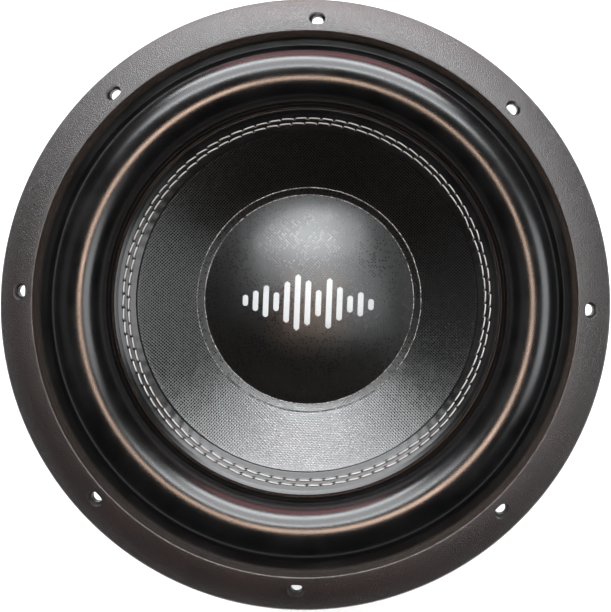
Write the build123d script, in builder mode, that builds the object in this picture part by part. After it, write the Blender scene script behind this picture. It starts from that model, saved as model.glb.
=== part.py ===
from build123d import *
import math
import os

os.makedirs("parts", exist_ok=True)

# A twelve inch car subwoofer driver with two voice coils, lying on its magnet and firing up.
# The origin is the centre of the bolt circle, in the rear face of the mounting flange.
# +Z is the way the cone fires.  Terminals are on the +X side (right) and the -X side (left).

# Flange and bolt circle
flange_radius = 156.7
flange_thickness = 5.0
bolt_circle_radius = 147.5
bolt_count = 8
bolt_hole_radius = 3.0
first_bolt_angle = 90.0

# Basket walls
skirt_radius = 139.0
skirt_inner_radius = 135.0
skirt_depth = 14.0
cup_radius = 98.0
cup_inner_radius = 94.0
cup_top = -62.0
cup_bottom = -70.0
wall_foot_radius = 78.0
wall_foot_height = 2.0
shelf_inner_radius = 84.0
shelf_top = -67.0
shelf_thickness = 4.0
base_top = -90.0
base_bottom = -95.0
base_hole_radius = 38.0
spoke_count = 6
window_top = -20.0
window_bottom = -58.0
window_top_half_width = 56.0
window_bottom_half_width = 40.0
window_corner_radius = 8.0
rib_thickness = 5.0
rib_profile = ((97.0, -60.0), (101.0, -58.5), (138.0, -18.0), (138.0, -14.0), (136.0, -14.0))
air_slot_width = 24.0
air_slot_height = 8.0
air_slot_z = -81.0

# Trim gasket
gasket_radius = 158.7
gasket_inner_radius = 140.2
gasket_skirt_bottom = 0.8
gasket_side_top = 6.4
gasket_slope_start_radius = 157.0
gasket_slope_start_z = 8.7
gasket_bulge_radius = 149.5
gasket_bulge_z = 11.9
gasket_crown_radius = 140.9
gasket_crown_z = 14.0
gasket_slot_length = 8.8
gasket_slot_width = 6.4
gasket_slot_cut_margin = 1.0

# Surround: inner lip, shoulder, groove, half roll and outer lip
lip_inner_radius = 89.7
lip_outer_radius = 100.4
web_gap = 0.3
lip_slope = 25.0
lip_outer_bottom = 2.5
lip_thickness = 2.0
shoulder_width = 1.8
shoulder_flat = 0.5
shoulder_z = 4.8
groove_radius = 103.6
groove_z = 0.9
roll_crest_radius = 119.4
roll_crest_z = 19.6
roll_outer_radius = 134.6
rubber_thickness = 1.8
landing_outer_radius = 143.8
landing_top = 6.5

# Cone, dust cap and stitching
cone_slope_radius = 90.2
cone_thickness = 1.2
neck_radius = 32.65
neck_z = -40.6
cap_radius = 57.0
cap_lip_radius = 60.9
cap_lip_thickness = 0.8
cap_dome_height = 20.0
cap_thickness = 1.2
glue_line = 0.05
assembly_gap = 0.1
thread_width = 0.9
thread_height = 0.5
thread_inner_row_radius = 93.65
thread_outer_row_radius = 96.1

# Voice coil
former_inner_radius = 31.75
former_outer_radius = 32.15
former_top = -40.0
former_bottom = -121.0
collar_inner_radius = 32.2
collar_outer_radius = 32.6
collar_top = -41.0
collar_bottom = -80.0
coil_inner_radius = 32.2
coil_middle_radius = 32.8
coil_outer_radius = 33.4
coil_top = -83.0
coil_bottom = -119.0

# Spiders and their spacer
spider_inner_radius = 32.9
spider_wave_start_radius = 37.0
spider_wave_end_radius = 83.0
spider_rim_radius = 92.0
spider_waves = 8
spider_wave_height = 1.6
spider_thickness = 0.8
spacer_height = 9.2
spacer_setback = 0.5

# Motor
top_plate_radius = 74.0
top_plate_bore_radius = 34.2
top_plate_bottom = -107.0
magnet_radius = 78.0
magnet_bore_radius = 36.0
magnet_height = 20.0
yoke_radius = 72.0
yoke_thickness = 12.0
yoke_chamfer = 1.5
pole_radius = 30.6
pole_top = -94.0
vent_radius = 14.0
vent_mouth_radius = 18.0
cap_ring_radius = 31.2
cap_ring_bottom = -128.0
boot_radius = 81.0
boot_inner_radius = 78.2
boot_top = -103.0
boot_end_clearance = 1.5
boot_rounding = 2.0
boot_fit = 0.2
screen_z = -152.8
screen_thickness = 0.8
screen_hole_radius = 1.1
screen_ring_pitch = 3.4
screen_rings = 3
screen_first_ring_holes = 6

# Screws that hold the basket to the top plate
plate_screw_count = 8
plate_screw_circle_radius = 62.0
plate_screw_angle = 22.5
plate_screw_radius = 2.5
plate_screw_hole_radius = 2.75
plate_screw_head_radius = 4.25
plate_screw_head_height = 3.0
plate_screw_depth = 8.0
plate_screw_key_width = 4.0
plate_screw_key_depth = 1.8

# Push terminals
pad_face_x = 100.0
pad_half_width = 26.0
pad_back = ((79.5, -86.0), (82.3, -83.0), (92.0, -72.0), (94.3, -69.5), (94.3, -62.0))
block_front_x = 107.0
block_half_width = 25.0
block_top = -62.5
block_bottom = -85.5
block_rounding = 1.5
boss_height = 2.2
boss_wall = 0.9
boss_clearance = 0.3
post_y = 10.0
post_z = -73.0
post_radius = 3.0
post_end_x = 122.0
post_head_radius = 3.6
post_head_length = 1.0
post_wire_hole_x = 114.0
wire_hole_radius = 1.6
button_travel = 3.5
button_start_x = 111.0
button_end_x = 131.0
button_radius = 5.5
button_bore_radius = 3.1
button_cavity_radius = 3.7
button_crown_thickness = 2.0
button_chamfer = 0.4
grip_groove_count = 12
grip_groove_radius = 0.5
spring_coil_radius = 2.6
spring_wire_radius = 0.3
spring_turns = 4
lug_y = 17.5
lug_width = 5.0
lug_thickness = 0.8
lug_top = -51.0
lug_slot_depth = 6.0
lug_corner_radius = 1.2
lug_x = 102.6
block_screw_y = 20.5
block_screw_radius = 1.5
block_screw_head_radius = 2.9
block_screw_head_height = 1.8
block_screw_depth = 12.0
block_screw_key_width = 1.0
block_screw_key_length = 3.4
block_screw_key_depth = 0.9

# Tinsel leads
lead_radius = 1.0
anchor_radius = 2.2
anchor_height = 2.0
anchor_x = 66.0
lead_bends = (
    (97.5, -54.0),
    (94.6, -49.3),
    (93.9, -42.0),
    (92.2, -34.8),
    (87.3, -31.2),
    (81.4, -32.0),
    (76.4, -37.2),
    (70.4, -37.6),
    (66.8, -33.0),
    (66.0, -28.0),
)
run_share = 0.45


def save(part, label):
    """Labels a finished piece and writes it."""
    part.label = label
    export_step(part, f"parts/{label}.step")


def washer(inner_radius, outer_radius, bottom, top):
    """A plain ring about the Z axis."""
    with BuildPart() as ring:
        with BuildSketch(Plane.XY.offset(bottom)):
            Circle(outer_radius)
            Circle(inner_radius, mode=Mode.SUBTRACT)
        extrude(amount=top - bottom)
    return ring.part


def radial_plane(angle):
    """The plane through the Z axis that faces outwards at this angle, with its y along +Z."""
    turn = math.radians(angle)
    outwards = (math.cos(turn), math.sin(turn), 0)
    sideways = (-math.sin(turn), math.cos(turn), 0)
    return Plane(origin=(0, 0, 0), x_dir=sideways, z_dir=outwards)


def facing_x(x, y, z):
    """The plane at a point that faces +X, with its x along +Y and its y along +Z."""
    return Plane(origin=(x, y, z), x_dir=(0, 1, 0), z_dir=(1, 0, 0))


def lip_bottom_z(radius):
    """The height of the face where the surround's lip is glued to the cone."""
    return lip_outer_bottom - math.tan(math.radians(lip_slope)) * (lip_outer_radius - radius)


def lip_face_z(radius):
    """The height of the stitched face of the lip."""
    return lip_bottom_z(radius) + lip_thickness


def cone_face_z(radius):
    """The height of the cone's front face, inside the lip."""
    slope = (lip_bottom_z(cone_slope_radius) - neck_z) / (cone_slope_radius - neck_radius)
    return neck_z + slope * (radius - neck_radius)


# ---- basket: flange, skirt, six spokes, spider shelf, cup and base, cast in one piece ----

cup_inner_foot_radius = 74.5
under_shelf_radius = 89.5
under_shelf_z = -73.6
shelf_corner_z = -60.5
skirt_inner_bottom = -12.5

with BuildPart() as basket:
    with BuildSketch(Plane.XZ):
        Polygon(
            (skirt_inner_radius, flange_thickness),
            (flange_radius, flange_thickness),
            (flange_radius, 0),
            (skirt_radius, 0),
            (skirt_radius, -skirt_depth),
            (cup_radius, cup_top),
            (cup_radius, cup_bottom),
            (wall_foot_radius, base_bottom + wall_foot_height),
            (wall_foot_radius, base_bottom),
            (base_hole_radius, base_bottom),
            (base_hole_radius, base_top),
            (cup_inner_foot_radius, base_top),
            (under_shelf_radius, under_shelf_z),
            (shelf_inner_radius, shelf_top - shelf_thickness),
            (shelf_inner_radius, shelf_top),
            (cup_inner_radius, shelf_top),
            (cup_inner_radius, shelf_corner_z),
            (skirt_inner_radius, skirt_inner_bottom),
            align=None,
        )
    revolve(axis=Axis.Z)
    # the windows between the spokes, and the air slots below the spider shelf
    for spoke in range(spoke_count):
        window_plane = radial_plane((spoke + 0.5) * 360 / spoke_count).offset(cup_inner_foot_radius)
        with BuildSketch(window_plane):
            Polygon(
                (-window_top_half_width, window_top),
                (window_top_half_width, window_top),
                (window_bottom_half_width, window_bottom),
                (-window_bottom_half_width, window_bottom),
                align=None,
            )
            fillet(vertices(), radius=window_corner_radius)
            with Locations((0, air_slot_z)):
                SlotOverall(air_slot_width, air_slot_height)
        extrude(amount=skirt_radius - cup_inner_foot_radius, mode=Mode.SUBTRACT)
    # a stiffening rib down the back of each spoke
    for spoke in range(spoke_count):
        turn = math.radians(spoke * 360 / spoke_count)
        rib_plane = Plane(
            origin=(0, 0, 0),
            x_dir=(math.cos(turn), math.sin(turn), 0),
            z_dir=(math.sin(turn), -math.cos(turn), 0),
        )
        with BuildSketch(rib_plane):
            Polygon(
                *rib_profile,
                align=None,
            )
        extrude(amount=rib_thickness / 2, both=True)
    # two cast pads that carry the terminals
    for side in (1, -1):
        with BuildSketch(Plane.XZ):
            Polygon(
                (side * pad_face_x, cup_top),
                (side * pad_face_x, pad_back[0][1]),
                *[(side * x, z) for x, z in pad_back],
                align=None,
            )
        extrude(amount=pad_half_width, both=True)
        with BuildSketch(facing_x(side * pad_face_x, 0, (block_top + block_bottom) / 2)):
            with Locations((block_screw_y, 0), (-block_screw_y, 0)):
                Circle(block_screw_radius)
        screw_reach = block_screw_depth - (block_front_x - pad_face_x)
        extrude(amount=-side * screw_reach, mode=Mode.SUBTRACT)
    with BuildSketch(Plane.XY):
        with PolarLocations(bolt_circle_radius, bolt_count, start_angle=first_bolt_angle):
            Circle(bolt_hole_radius)
    extrude(amount=flange_thickness, mode=Mode.SUBTRACT)
    with BuildSketch(Plane.XY.offset(base_bottom)):
        with PolarLocations(plate_screw_circle_radius, plate_screw_count, start_angle=plate_screw_angle):
            Circle(plate_screw_hole_radius)
    extrude(amount=base_top - base_bottom, mode=Mode.SUBTRACT)
save(basket.part, "basket")

# ---- trim gasket: a wide rubber ring that slopes outwards and hides the flange ----

with BuildPart() as gasket_ring:
    with BuildSketch(Plane.XZ):
        with BuildLine():
            Polyline(
                (gasket_crown_radius, gasket_crown_z),
                (gasket_inner_radius, gasket_crown_z - gasket_crown_radius + gasket_inner_radius),
                (gasket_inner_radius, landing_top),
                (landing_outer_radius + assembly_gap, landing_top),
                (landing_outer_radius + assembly_gap, flange_thickness),
                (flange_radius + assembly_gap, flange_thickness),
                (flange_radius + assembly_gap, gasket_skirt_bottom),
                (gasket_radius, gasket_skirt_bottom),
                (gasket_radius, gasket_side_top),
                (gasket_slope_start_radius, gasket_slope_start_z),
            )
            ThreePointArc(
                (gasket_slope_start_radius, gasket_slope_start_z),
                (gasket_bulge_radius, gasket_bulge_z),
                (gasket_crown_radius, gasket_crown_z),
            )
        make_face()
    revolve(axis=Axis.Z)
    with BuildSketch(Plane.XY):
        with PolarLocations(bolt_circle_radius, bolt_count, start_angle=first_bolt_angle):
            SlotOverall(gasket_slot_length, gasket_slot_width, rotation=90)
    extrude(amount=gasket_crown_z + gasket_slot_cut_margin, mode=Mode.SUBTRACT)
save(gasket_ring.part, "gasket_ring")

# ---- surround: moulded rubber, with a sloping stitched lip, a shoulder, a groove and a half roll ----

web_radius = lip_outer_radius + web_gap
shoulder_radius = lip_outer_radius

with BuildPart() as surround:
    with BuildSketch(Plane.XZ):
        with BuildLine():
            Polyline(
                (roll_outer_radius, landing_top),
                (landing_outer_radius, landing_top),
                (landing_outer_radius, flange_thickness),
                (roll_outer_radius - rubber_thickness, flange_thickness),
            )
            ThreePointArc(
                (roll_outer_radius - rubber_thickness, flange_thickness),
                (roll_crest_radius, roll_crest_z - rubber_thickness),
                (groove_radius + rubber_thickness, groove_z - rubber_thickness),
            )
            Polyline(
                (groove_radius + rubber_thickness, groove_z - rubber_thickness),
                (web_radius, groove_z - rubber_thickness),
                (web_radius, lip_bottom_z(web_radius)),
                (lip_inner_radius, lip_bottom_z(lip_inner_radius)),
                (lip_inner_radius, lip_face_z(lip_inner_radius)),
                (shoulder_radius - shoulder_width, lip_face_z(shoulder_radius - shoulder_width)),
                (shoulder_radius, shoulder_z),
                (shoulder_radius + shoulder_flat, shoulder_z),
                (shoulder_radius + shoulder_width, groove_z),
                (groove_radius, groove_z),
            )
            ThreePointArc(
                (groove_radius, groove_z),
                (roll_crest_radius, roll_crest_z),
                (roll_outer_radius, landing_top),
            )
        make_face()
    revolve(axis=Axis.Z)
save(surround.part, "surround")

# ---- cone, dust cap and the two rows of stitching thread ----

cone_slope = cone_face_z(2) - cone_face_z(1)
rim_slope = lip_bottom_z(2) - lip_bottom_z(1)
cone_drop = cone_thickness * math.hypot(1, cone_slope)
rim_drop = cone_thickness * math.hypot(1, rim_slope)
rear_corner_radius = cone_slope_radius + (cone_drop - rim_drop) / (cone_slope - rim_slope)

with BuildPart() as cone:
    with BuildSketch(Plane.XZ):
        Polygon(
            (lip_outer_radius, lip_outer_bottom),
            (lip_outer_radius, lip_outer_bottom - rim_drop),
            (rear_corner_radius, cone_face_z(rear_corner_radius) - cone_drop),
            (neck_radius, neck_z - cone_drop),
            (neck_radius, neck_z),
            (cone_slope_radius, lip_bottom_z(cone_slope_radius)),
            align=None,
        )
    revolve(axis=Axis.Z)
save(cone.part, "cone")

dome_edge_z = cone_face_z(cap_radius) + cap_lip_thickness
dome_radius = (cap_radius**2 + cap_dome_height**2) / (2 * cap_dome_height)
dome_centre_z = dome_edge_z + cap_dome_height - dome_radius
dome_half_angle = math.asin(cap_radius / dome_radius) / 2
inner_dome_radius = dome_radius - cap_thickness
inner_edge_radius = cap_radius - cap_thickness
inner_edge_z = dome_centre_z + math.sqrt(inner_dome_radius**2 - inner_edge_radius**2)

with BuildPart() as dust_cap:
    with BuildSketch(Plane.XZ):
        with BuildLine():
            ThreePointArc(
                (cap_radius, dome_edge_z),
                (
                    dome_radius * math.sin(dome_half_angle),
                    dome_centre_z + dome_radius * math.cos(dome_half_angle),
                ),
                (0, dome_centre_z + dome_radius),
            )
            Line((0, dome_centre_z + dome_radius), (0, dome_centre_z + inner_dome_radius))
            ThreePointArc(
                (0, dome_centre_z + inner_dome_radius),
                (
                    inner_dome_radius * math.sin(dome_half_angle),
                    dome_centre_z + inner_dome_radius * math.cos(dome_half_angle),
                ),
                (inner_edge_radius, inner_edge_z),
            )
            Polyline(
                (inner_edge_radius, inner_edge_z),
                (inner_edge_radius, cone_face_z(inner_edge_radius) + glue_line),
                (cap_lip_radius, cone_face_z(cap_lip_radius) + glue_line),
                (cap_lip_radius, cone_face_z(cap_lip_radius) + cap_lip_thickness),
                (cap_radius, dome_edge_z),
            )
        make_face()
    revolve(axis=Axis.Z)
save(dust_cap.part, "dust_cap")

for row_name, row_radius in (
    ("stitch_thread_inner", thread_inner_row_radius),
    ("stitch_thread_outer", thread_outer_row_radius),
):
    thread_inside = row_radius - thread_width / 2
    thread_outside = row_radius + thread_width / 2
    with BuildPart() as thread:
        with BuildSketch(Plane.XZ):
            Polygon(
                (thread_inside, lip_face_z(thread_inside)),
                (thread_outside, lip_face_z(thread_outside)),
                (thread_outside, lip_face_z(thread_outside) + thread_height),
                (thread_inside, lip_face_z(thread_inside) + thread_height),
                align=None,
            )
        revolve(axis=Axis.Z)
    save(thread.part, row_name)

# ---- voice coil: former, paper collar and the two windings ----

save(washer(former_inner_radius, former_outer_radius, former_bottom, former_top), "coil_former")
save(washer(collar_inner_radius, collar_outer_radius, collar_bottom, collar_top), "former_collar")
save(washer(coil_inner_radius, coil_middle_radius, coil_bottom, coil_top), "winding_inner")
save(washer(coil_middle_radius, coil_outer_radius, coil_bottom, coil_top), "winding_outer")

# ---- spiders: two corrugated cloth discs, one above the other on the basket's shelf ----


def spider(rim_bottom):
    """A corrugated disc whose flat rim lies on the shelf or the spacer."""
    wave_pitch = (spider_wave_end_radius - spider_wave_start_radius) / spider_waves
    rim_top = rim_bottom + spider_thickness
    with BuildPart() as disc:
        with BuildSketch(Plane.XZ):
            with BuildLine():
                Line((spider_inner_radius, rim_top), (spider_wave_start_radius, rim_top))
                for wave in range(spider_waves):
                    start = spider_wave_start_radius + wave * wave_pitch
                    swing = spider_wave_height if wave % 2 == 0 else -spider_wave_height
                    for height in (rim_top, rim_bottom):
                        ThreePointArc(
                            (start, height),
                            (start + wave_pitch / 2, height + swing),
                            (start + wave_pitch, height),
                        )
                Polyline(
                    (spider_wave_end_radius, rim_top),
                    (spider_rim_radius, rim_top),
                    (spider_rim_radius, rim_bottom),
                    (spider_wave_end_radius, rim_bottom),
                )
                Polyline(
                    (spider_wave_start_radius, rim_bottom),
                    (spider_inner_radius, rim_bottom),
                    (spider_inner_radius, rim_top),
                )
            make_face()
        revolve(axis=Axis.Z)
    return disc.part


spacer_bottom = shelf_top + spider_thickness
spacer_top = spacer_bottom + spacer_height
save(spider(shelf_top), "spider_lower")
save(spider(spacer_top), "spider_upper")
spacer = washer(shelf_inner_radius + spacer_setback, spider_rim_radius, spacer_bottom, spacer_top)
save(spacer, "spider_spacer")

# ---- motor: top plate, two ferrite rings, T-yoke with a vented pole, copper ring, boot, screen ----

with BuildPart() as top_plate:
    with BuildSketch(Plane.XY.offset(top_plate_bottom)):
        Circle(top_plate_radius)
        Circle(top_plate_bore_radius, mode=Mode.SUBTRACT)
    extrude(amount=base_bottom - top_plate_bottom)
    with BuildSketch(Plane.XY.offset(base_bottom)):
        with PolarLocations(plate_screw_circle_radius, plate_screw_count, start_angle=plate_screw_angle):
            Circle(plate_screw_radius)
    extrude(amount=-plate_screw_depth, mode=Mode.SUBTRACT)
save(top_plate.part, "top_plate")

magnet_joint_z = top_plate_bottom - magnet_height
yoke_top = magnet_joint_z - magnet_height
yoke_bottom = yoke_top - yoke_thickness
save(washer(magnet_bore_radius, magnet_radius, magnet_joint_z, top_plate_bottom), "magnet_upper")
save(washer(magnet_bore_radius, magnet_radius, yoke_top, magnet_joint_z), "magnet_lower")

with BuildPart() as t_yoke:
    with BuildSketch(Plane.XZ):
        Polygon(
            (vent_mouth_radius, yoke_bottom),
            (yoke_radius - yoke_chamfer, yoke_bottom),
            (yoke_radius, yoke_bottom + yoke_chamfer),
            (yoke_radius, yoke_top),
            (pole_radius, yoke_top),
            (pole_radius, pole_top),
            (vent_radius, pole_top),
            (vent_radius, yoke_bottom + vent_mouth_radius - vent_radius),
            align=None,
        )
    revolve(axis=Axis.Z)
save(t_yoke.part, "t_yoke")

save(washer(pole_radius, cap_ring_radius, cap_ring_bottom, pole_top), "pole_shorting_sleeve")

with BuildPart() as magnet_boot:
    with BuildSketch(Plane.XZ):
        Polygon(
            (top_plate_radius + boot_fit, top_plate_bottom + assembly_gap),
            (boot_inner_radius, top_plate_bottom + assembly_gap),
            (boot_inner_radius, yoke_top - assembly_gap),
            (yoke_radius + boot_fit, yoke_top - assembly_gap),
            (yoke_radius + boot_fit, yoke_bottom + boot_end_clearance),
            (boot_radius - boot_rounding, yoke_bottom + boot_end_clearance),
            (boot_radius, yoke_bottom + boot_end_clearance + boot_rounding),
            (boot_radius, boot_top - boot_rounding),
            (boot_radius - boot_rounding, boot_top),
            (top_plate_radius + boot_fit, boot_top),
            align=None,
        )
    revolve(axis=Axis.Z)
save(magnet_boot.part, "magnet_boot")

with BuildPart() as vent_screen:
    with BuildSketch(Plane.XY.offset(screen_z)):
        Circle(vent_radius - glue_line)
        Circle(screen_hole_radius, mode=Mode.SUBTRACT)
        for ring in range(1, screen_rings + 1):
            with PolarLocations(ring * screen_ring_pitch, ring * screen_first_ring_holes):
                Circle(screen_hole_radius, mode=Mode.SUBTRACT)
    extrude(amount=screen_thickness)
save(vent_screen.part, "vent_screen")

with BuildPart() as plate_screws:
    with BuildSketch(Plane.XY.offset(base_top)):
        with PolarLocations(plate_screw_circle_radius, plate_screw_count, start_angle=plate_screw_angle):
            Circle(plate_screw_head_radius)
    extrude(amount=plate_screw_head_height)
    with BuildSketch(Plane.XY.offset(base_top)):
        with PolarLocations(plate_screw_circle_radius, plate_screw_count, start_angle=plate_screw_angle):
            Circle(plate_screw_radius)
    extrude(amount=base_bottom - base_top - plate_screw_depth)
    with BuildSketch(Plane.XY.offset(base_top + plate_screw_head_height)):
        with PolarLocations(plate_screw_circle_radius, plate_screw_count, start_angle=plate_screw_angle):
            RegularPolygon(plate_screw_key_width / 2, side_count=6)
    extrude(amount=-plate_screw_key_depth, mode=Mode.SUBTRACT)
save(plate_screws.part, "basket_to_plate_screws")

# ---- push terminals, modelled on the right and turned half a circle for the left ----

block_middle_z = (block_top + block_bottom) / 2

with BuildPart() as terminal_block:
    with BuildSketch(facing_x(pad_face_x, 0, block_middle_z)):
        RectangleRounded(2 * block_half_width, block_top - block_bottom, block_rounding)
    extrude(amount=block_front_x - pad_face_x)
    # round bosses that the posts stand in
    with BuildSketch(facing_x(block_front_x, 0, post_z)):
        with Locations((post_y, 0), (-post_y, 0)):
            Circle(button_radius + boss_clearance + boss_wall)
            Circle(button_radius + boss_clearance, mode=Mode.SUBTRACT)
    extrude(amount=boss_height)
    with BuildSketch(facing_x(pad_face_x, 0, post_z)):
        with Locations((post_y, 0), (-post_y, 0)):
            Circle(post_radius)
    extrude(amount=block_front_x - pad_face_x, mode=Mode.SUBTRACT)
    with BuildSketch(facing_x(pad_face_x, 0, block_middle_z)):
        with Locations((block_screw_y, 0), (-block_screw_y, 0)):
            Circle(block_screw_radius)
    extrude(amount=block_front_x - pad_face_x, mode=Mode.SUBTRACT)
    # slots that the solder lugs are pressed into
    with BuildSketch(Plane.XY.offset(block_top)):
        with Locations((lug_x, lug_y), (lug_x, -lug_y)):
            Rectangle(lug_thickness, lug_width)
    extrude(amount=-lug_slot_depth, mode=Mode.SUBTRACT)
save(terminal_block.part, "terminal_block_right")
save(terminal_block.part.rotate(Axis.Z, 180), "terminal_block_left")

with BuildPart() as block_screws:
    with BuildSketch(facing_x(block_front_x, 0, block_middle_z)):
        with Locations((block_screw_y, 0), (-block_screw_y, 0)):
            Circle(block_screw_head_radius)
    extrude(amount=block_screw_head_height)
    with BuildSketch(facing_x(block_front_x, 0, block_middle_z)):
        with Locations((block_screw_y, 0), (-block_screw_y, 0)):
            Circle(block_screw_radius)
    extrude(amount=-block_screw_depth)
    with BuildSketch(facing_x(block_front_x + block_screw_head_height, 0, block_middle_z)):
        with Locations((block_screw_y, 0), (-block_screw_y, 0)):
            Rectangle(block_screw_key_width, block_screw_key_length)
            Rectangle(block_screw_key_length, block_screw_key_width)
    extrude(amount=-block_screw_key_depth, mode=Mode.SUBTRACT)
save(block_screws.part, "terminal_screws_right")
save(block_screws.part.rotate(Axis.Z, 180), "terminal_screws_left")

with BuildPart() as posts:
    with BuildSketch(facing_x(pad_face_x, 0, post_z)):
        with Locations((post_y, 0), (-post_y, 0)):
            Circle(post_radius)
    extrude(amount=post_end_x - pad_face_x)
    with BuildSketch(facing_x(post_end_x - post_head_length, 0, post_z)):
        with Locations((post_y, 0), (-post_y, 0)):
            Circle(post_head_radius)
    extrude(amount=post_head_length)
    with BuildSketch(Plane.XY.offset(post_z)):
        with Locations((post_wire_hole_x, post_y), (post_wire_hole_x, -post_y)):
            Circle(wire_hole_radius)
    extrude(amount=button_radius, both=True, mode=Mode.SUBTRACT)
save(posts.part, "contact_posts_right")
save(posts.part.rotate(Axis.Z, 180), "contact_posts_left")

with BuildPart() as lugs:
    with BuildSketch(Plane.XY.offset(block_top - lug_slot_depth)):
        with Locations((lug_x, lug_y), (lug_x, -lug_y)):
            Rectangle(lug_thickness, lug_width)
    extrude(amount=lug_top - block_top + lug_slot_depth)
    lug_upright_edges = lugs.edges().filter_by(Axis.X).group_by(Axis.Z)[-1]
    fillet(lug_upright_edges, radius=lug_corner_radius)
save(lugs.part, "solder_lugs_right")
save(lugs.part.rotate(Axis.Z, 180), "solder_lugs_left")


def push_button(y):
    """A cap that slides on its post against a spring, with a cross hole for the wire."""
    with BuildPart() as button:
        with BuildSketch(facing_x(button_start_x, y, post_z)):
            Circle(button_radius)
            with PolarLocations(button_radius, grip_groove_count):
                Circle(grip_groove_radius, mode=Mode.SUBTRACT)
        extrude(amount=button_end_x - button_start_x)
        crown_edges = button.faces().sort_by(Axis.X)[-1].edges()
        chamfer(crown_edges, length=button_chamfer)
        with BuildSketch(facing_x(button_start_x, y, post_z)):
            Circle(button_bore_radius)
        extrude(amount=post_end_x - post_head_length - button_start_x, mode=Mode.SUBTRACT)
        with BuildSketch(facing_x(post_end_x - post_head_length, y, post_z)):
            Circle(button_cavity_radius)
        cavity_depth = button_end_x - button_crown_thickness - post_end_x + post_head_length
        extrude(amount=cavity_depth, mode=Mode.SUBTRACT)
        with BuildSketch(Plane.XY.offset(post_z)):
            with Locations((post_wire_hole_x + button_travel, y)):
                Circle(wire_hole_radius)
        extrude(amount=2 * button_radius, both=True, mode=Mode.SUBTRACT)
    return button.part


def button_spring(y):
    """The coil spring between the post's head and the inside of the cap."""
    end_space = spring_wire_radius + glue_line
    spring_length = button_end_x - button_crown_thickness - post_end_x - 2 * end_space
    with BuildPart() as spring:
        with BuildLine() as coil_path:
            Helix(
                pitch=spring_length / spring_turns,
                height=spring_length,
                radius=spring_coil_radius,
                center=(post_end_x + end_space, y, post_z),
                direction=(1, 0, 0),
            )
        with BuildSketch(Plane(origin=coil_path.line @ 0, z_dir=coil_path.line % 0)):
            Circle(spring_wire_radius)
        sweep(path=coil_path.line, is_frenet=True)
    return spring.part


for colour, button_y in (("red", post_y), ("black", -post_y)):
    button = push_button(button_y)
    spring = button_spring(button_y)
    save(button, f"button_right_{colour}")
    save(spring, f"button_spring_right_{colour}")
    save(button.rotate(Axis.Z, 180), f"button_left_{colour}")
    save(spring.rotate(Axis.Z, 180), f"button_spring_left_{colour}")

# ---- tinsel leads from the lugs to the back of the cone ----

anchor_seat_radius = math.hypot(anchor_x, lug_y)
anchor_top = cone_face_z(anchor_seat_radius - anchor_radius) - cone_drop - assembly_gap

with BuildPart() as lead_anchors:
    with BuildSketch(Plane.XY.offset(anchor_top - anchor_height)):
        for side in (1, -1):
            with Locations((side * anchor_x, lug_y), (side * anchor_x, -lug_y)):
                Circle(anchor_radius)
    extrude(amount=anchor_height)
save(lead_anchors.part, "lead_anchors")

lead_route = (
    (lug_x - lug_thickness / 2, lead_bends[0][1]),
    *lead_bends,
    (anchor_x, anchor_top - anchor_height),
)


def bend_radii(points):
    """The arc at each inner point, as large as its two runs allow."""
    radii = []
    for before, here, after in zip(points, points[1:], points[2:]):
        run_in = Vector(*here) - Vector(*before)
        run_out = Vector(*after) - Vector(*here)
        half_turn = math.radians(run_in.get_angle(run_out)) / 2
        radii.append(run_share * min(run_in.length, run_out.length) / math.tan(half_turn))
    return radii


def tinsel_lead(y):
    """One braided lead in the plane of its lug."""
    points = [(x, y, z) for x, z in lead_route]
    radii = bend_radii(points)
    with BuildPart() as lead:
        with BuildLine() as route:
            FilletPolyline(*points, radius=radii)
        with BuildSketch(Plane(origin=route.line @ 0, z_dir=route.line % 0)):
            Circle(lead_radius)
        sweep(path=route.line)
    length = sum(edge.length for edge in route.edges())
    share = lead.part.volume / (math.pi * lead_radius**2 * length)
    print("lead radii", [round(radius, 1) for radius in radii])
    print("lead length", round(length, 1), "volume over section times length", round(share, 4))
    return lead.part


for polarity, lead_y in (("plus", lug_y), ("minus", -lug_y)):
    lead = tinsel_lead(lead_y)
    save(lead, f"tinsel_lead_right_{polarity}")
    save(lead.rotate(Axis.Z, 180), f"tinsel_lead_left_{polarity}")
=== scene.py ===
import bmesh
import bpy
import math
import numpy as np
from mathutils import Matrix, Vector


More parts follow.
